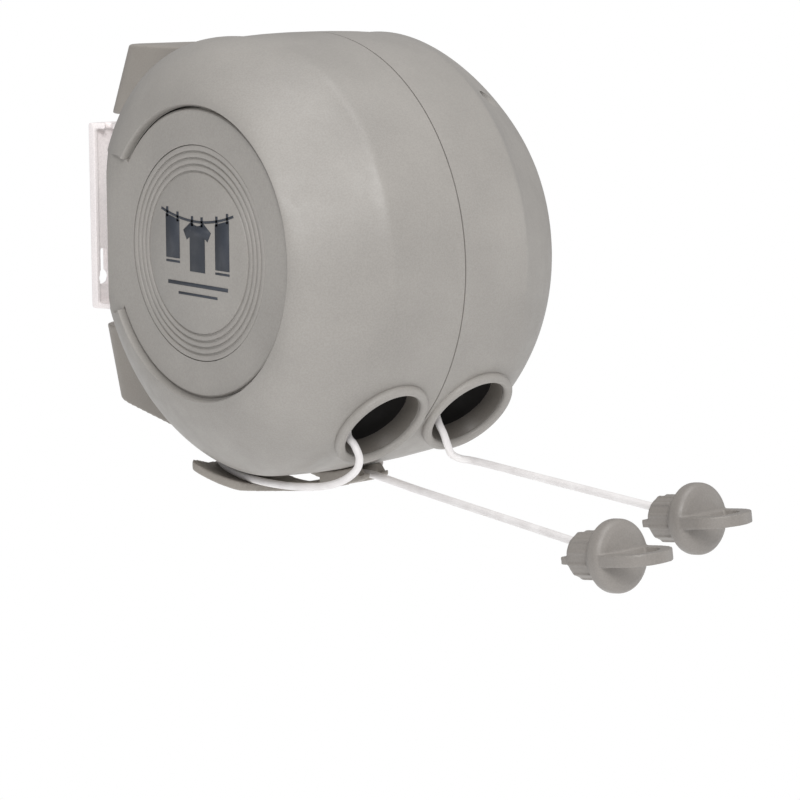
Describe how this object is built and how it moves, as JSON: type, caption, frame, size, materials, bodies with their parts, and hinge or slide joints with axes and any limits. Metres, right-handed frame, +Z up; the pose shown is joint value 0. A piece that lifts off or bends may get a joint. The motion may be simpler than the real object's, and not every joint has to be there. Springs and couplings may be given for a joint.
{
  "type": "retractable clothesline",
  "caption": "Wall-hung retractable clothesline: a round swivelling housing with sprung line reels, trumpet mouths, ribbed pull handles and a cleat that locks the line.",
  "frame": {"origin": "centre of the wall bracket's back face, on the wall", "axes": "+Y into the wall, -Y the way the lines run out, X along the reels' axle with the patterned face at -X, +Z up"},
  "size_m": [0.143, 0.3572, 0.1991],
  "materials": {
    "housing_plastic": "satin, warm light grey, very fine moulded grain",
    "dark_plastic": "satin, darker warm grey",
    "bracket_plastic": "smooth, pale grey with a faint pink cast",
    "line_vinyl": "smooth white vinyl over a braided core",
    "reel_plastic": "plain moulded",
    "zinc_steel": "zinc plated",
    "spring_steel": "oiled spring strip"
  },
  "bodies": {
    "bracket": {"wall_bracket": "bracket_plastic"},
    "housing": {"swivel_yoke": "dark_plastic", "swivel_pin": "zinc_steel", "pin_clip": "zinc_steel", "yoke_screw_1": "zinc_steel", "yoke_screw_2": "zinc_steel", "left_shell": "housing_plastic", "right_shell": "housing_plastic", "shell_screw_1": "zinc_steel", "shell_screw_2": "zinc_steel", "shell_screw_3": "zinc_steel", "shell_screw_4": "zinc_steel", "shell_screw_5": "zinc_steel", "left_line_guide": "dark_plastic", "right_line_guide": "dark_plastic", "line_cleat": "dark_plastic", "cleat_screw_1": "zinc_steel", "cleat_screw_2": "zinc_steel", "axle": "zinc_steel", "centre_partition": "reel_plastic", "left_inner_line": "line_vinyl", "right_inner_line": "line_vinyl", "left_line": "line_vinyl", "right_line": "line_vinyl"},
    "left_spool": {"left_spool": "reel_plastic", "left_wound_line": "line_vinyl", "left_spring": "spring_steel", "left_spring_cover": "reel_plastic"},
    "right_spool": {"right_spool": "reel_plastic", "right_wound_line": "line_vinyl", "right_spring": "spring_steel", "right_spring_cover": "reel_plastic"},
    "left_pull": {"left_pull_handle": "dark_plastic"},
    "right_pull": {"right_pull_handle": "dark_plastic"}
  },
  "joints": [
    {"name": "housing_swivel", "type": "hinge", "parent": "bracket", "child": "housing", "pos_m": [0, -0.03, 0], "axis": [0, 0, 1], "range_deg": [-50, 50]},
    {"name": "left_spool_spin", "type": "hinge", "parent": "housing", "child": "left_spool", "pos_m": [0, -0.1403, -0.0011], "axis": [-1, 0, 0], "range_deg": [-85, 210], "deforming": ["left_spring"]},
    {"name": "right_spool_spin", "type": "hinge", "parent": "housing", "child": "right_spool", "pos_m": [0, -0.1403, -0.0011], "axis": [-1, 0, 0], "range_deg": [-85, 210], "deforming": ["right_spring"]},
    {"name": "left_pull_slide", "type": "slide", "parent": "housing", "child": "left_pull", "axis": [-0.1401, -0.9901, -0.0076], "range_m": [-0.0815, 0.2005], "deforming": ["left_line"]},
    {"name": "right_pull_slide", "type": "slide", "parent": "housing", "child": "right_pull", "axis": [0, -0.9996, -0.0272], "range_m": [-0.0815, 0.2005], "deforming": ["right_line"]}
  ],
  "couplings": [
    {"joint": "left_pull_slide", "follows": "left_spool_spin", "m_per_rad": 0.0546},
    {"joint": "right_pull_slide", "follows": "right_spool_spin", "m_per_rad": 0.0546}
  ]
}
